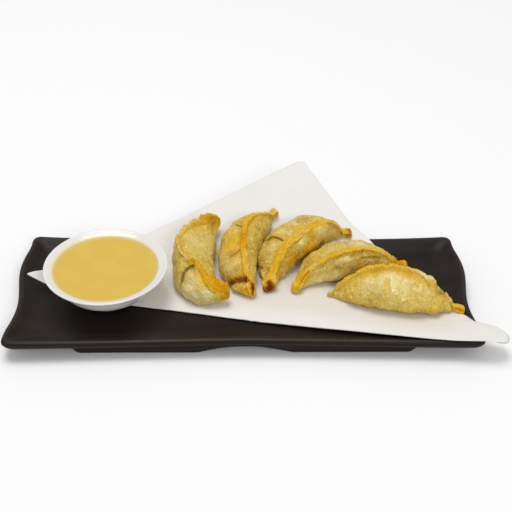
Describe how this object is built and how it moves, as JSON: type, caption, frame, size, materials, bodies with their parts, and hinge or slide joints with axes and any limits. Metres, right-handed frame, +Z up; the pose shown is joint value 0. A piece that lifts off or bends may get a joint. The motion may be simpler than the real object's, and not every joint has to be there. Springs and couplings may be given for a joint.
{
  "type": "gyoza dumplings on a plate",
  "caption": "Fried gyoza dumplings with pinched ears and pleats on a folded serving paper, beside a small bowl of mustard-yellow dip, on a long dark wave-edged plate.",
  "frame": {"origin": "middle of the whole serving's footprint, on the surface that the plate's foot stands on", "axes": "+X along the plate's length, to the right of a diner who sits at -Y; +Y away from the diner, towards the paper's raised corner; +Z up"},
  "size_m": [0.3124, 0.1808, 0.041],
  "materials": {
    "dark_glaze": "satin brown-black glaze on stoneware, with faint lengthwise streaks",
    "white_paper": "soft matt white folded paper",
    "white_porcelain": "clear glossy glaze on white porcelain",
    "mustard_dip": "smooth creamy mustard-yellow dip with a soft sheen",
    "fried_dough": "blistered pale-gold fried dough, deeper gold on the crests and red-brown at the tips"
  },
  "bodies": {
    "root": {"plate": "dark_glaze", "serving_paper": "white_paper", "dip_bowl": "white_porcelain", "dip_sauce": "mustard_dip", "gyoza_1": "fried_dough", "gyoza_2": "fried_dough", "gyoza_3": "fried_dough", "gyoza_4": "fried_dough", "gyoza_5": "fried_dough"}
  },
  "joints": []
}
